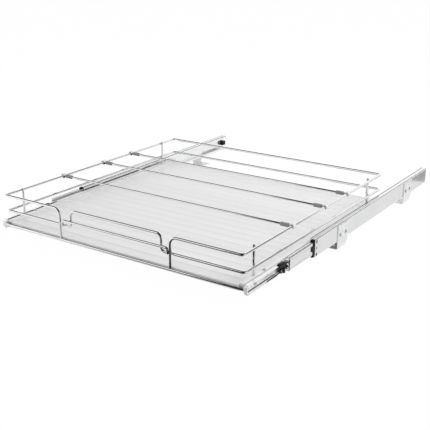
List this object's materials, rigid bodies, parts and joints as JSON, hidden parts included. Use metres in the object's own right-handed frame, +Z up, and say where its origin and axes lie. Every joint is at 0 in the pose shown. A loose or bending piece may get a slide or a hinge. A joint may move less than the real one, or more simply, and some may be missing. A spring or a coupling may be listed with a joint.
{
  "type": "pull-out cabinet basket",
  "caption": "Pull-out chromed wire basket with a ribbed metal tray and sliding divider rods, on telescopic ball-bearing slides with angle feet for a base cabinet.",
  "frame": {"origin": "on the floor under the feet, at the middle of the overall width and length", "axes": "+X to the right seen from the front, +Y into the cabinet along the slides, +Z up"},
  "size_m": [0.564, 0.769, 0.0944],
  "materials": {
    "zinc_steel": "bright zinc-plated rolled steel",
    "zinc_bracket": "bright zinc-plated pressed steel",
    "fastener_zinc": "zinc-plated rivets, screws and pins",
    "black_plastic": "moulded black acetal",
    "cage_plastic": "pressed grey ball cage",
    "bearing_steel": "polished bearing steel",
    "tray_satin": "satin silver-grey lacquered sheet",
    "chrome_wire": "bright chrome-plated wire",
    "spring_chrome": "plated spring strip",
    "clip_grey": "moulded mid-grey polyamide"
  },
  "bodies": {
    "cabinet_side": {"left_cabinet_rail": "zinc_steel", "right_cabinet_rail": "zinc_steel", "left_front_foot": "zinc_bracket", "left_rear_foot": "zinc_bracket", "right_front_foot": "zinc_bracket", "right_rear_foot": "zinc_bracket", "foot_rivets": "fastener_zinc", "left_rear_bumper": "black_plastic", "right_rear_bumper": "black_plastic", "left_front_retainer": "black_plastic", "right_front_retainer": "black_plastic"},
    "right_middle": {"right_middle_rail": "zinc_steel"},
    "left_middle": {"left_middle_rail": "zinc_steel"},
    "basket": {"left_basket_rail": "zinc_steel", "right_basket_rail": "zinc_steel", "tray": "tray_satin", "rim_screws": "fastener_zinc", "tray_rivets": "fastener_zinc", "top_rail_wire": "chrome_wire", "middle_rail_wire": "chrome_wire", "front_bar_wire": "chrome_wire", "bottom_front_wire": "chrome_wire", "left_front_post": "chrome_wire", "left_rear_post": "chrome_wire", "right_front_post": "chrome_wire", "right_rear_post": "chrome_wire", "left_catch_block": "black_plastic", "right_catch_block": "black_plastic", "left_catch_spring": "spring_chrome", "right_catch_spring": "spring_chrome", "lever_pins": "fastener_zinc"},
    "left_outer_cage": {"left_outer_ball_cage": "cage_plastic", "left_outer_balls": "bearing_steel"},
    "left_inner_cage": {"left_inner_ball_cage": "cage_plastic", "left_inner_balls": "bearing_steel"},
    "left_lever": {"left_release_lever": "black_plastic"},
    "right_outer_cage": {"right_outer_ball_cage": "cage_plastic", "right_outer_balls": "bearing_steel"},
    "right_inner_cage": {"right_inner_ball_cage": "cage_plastic", "right_inner_balls": "bearing_steel"},
    "right_lever": {"right_release_lever": "black_plastic"},
    "front_divider": {"front_divider_rod": "chrome_wire", "front_divider_left_clip": "clip_grey", "front_divider_right_clip": "clip_grey"},
    "middle_divider": {"middle_divider_rod": "chrome_wire", "middle_divider_left_clip": "clip_grey", "middle_divider_right_clip": "clip_grey"},
    "rear_divider": {"rear_divider_rod": "chrome_wire", "rear_divider_left_clip": "clip_grey", "rear_divider_right_clip": "clip_grey"}
  },
  "joints": [
    {"name": "right_middle_slide", "type": "slide", "parent": "cabinet_side", "child": "right_middle", "axis": [0, -1, 0], "range_m": [-0.086, 0.189]},
    {"name": "left_middle_slide", "type": "slide", "parent": "cabinet_side", "child": "left_middle", "axis": [0, -1, 0], "range_m": [-0.086, 0.189]},
    {"name": "basket_slide", "type": "slide", "parent": "right_middle", "child": "basket", "axis": [0, -1, 0], "range_m": [-0.133, 0.142]},
    {"name": "right_outer_cage_roll", "type": "slide", "parent": "cabinet_side", "child": "right_outer_cage", "axis": [0, -1, 0], "range_m": [-0.043, 0.0945]},
    {"name": "left_outer_cage_roll", "type": "slide", "parent": "cabinet_side", "child": "left_outer_cage", "axis": [0, -1, 0], "range_m": [-0.043, 0.0945]},
    {"name": "right_inner_cage_roll", "type": "slide", "parent": "right_middle", "child": "right_inner_cage", "axis": [0, -1, 0], "range_m": [-0.0665, 0.071]},
    {"name": "left_inner_cage_roll", "type": "slide", "parent": "left_middle", "child": "left_inner_cage", "axis": [0, -1, 0], "range_m": [-0.0665, 0.071]},
    {"name": "left_lever_hinge", "type": "hinge", "parent": "basket", "child": "left_lever", "pos_m": [-0.272, -0.2775, 0.0277], "axis": [1, 0, 0], "range_deg": [-4, 0], "stiffness_Nm_per_rad": 0.05, "springref_deg": 5.73},
    {"name": "right_lever_hinge", "type": "hinge", "parent": "basket", "child": "right_lever", "pos_m": [0.272, -0.2775, 0.0277], "axis": [1, 0, 0], "range_deg": [-4, 0], "stiffness_Nm_per_rad": 0.05, "springref_deg": 5.73},
    {"name": "front_divider_slide", "type": "slide", "parent": "basket", "child": "front_divider", "axis": [0, 1, 0], "range_m": [-0.109, 0.052]},
    {"name": "middle_divider_slide", "type": "slide", "parent": "basket", "child": "middle_divider", "axis": [0, 1, 0], "range_m": [-0.055, 0.038]},
    {"name": "rear_divider_slide", "type": "slide", "parent": "basket", "child": "rear_divider", "axis": [0, 1, 0], "range_m": [-0.04, 0.098]}
  ],
  "couplings": [
    {"joint": "left_middle_slide", "follows": "right_middle_slide", "ratio": 1},
    {"joint": "right_outer_cage_roll", "follows": "right_middle_slide", "ratio": 0.5},
    {"joint": "left_outer_cage_roll", "follows": "right_middle_slide", "ratio": 0.5},
    {"joint": "right_inner_cage_roll", "follows": "basket_slide", "ratio": 0.5},
    {"joint": "left_inner_cage_roll", "follows": "basket_slide", "ratio": 0.5}
  ]
}
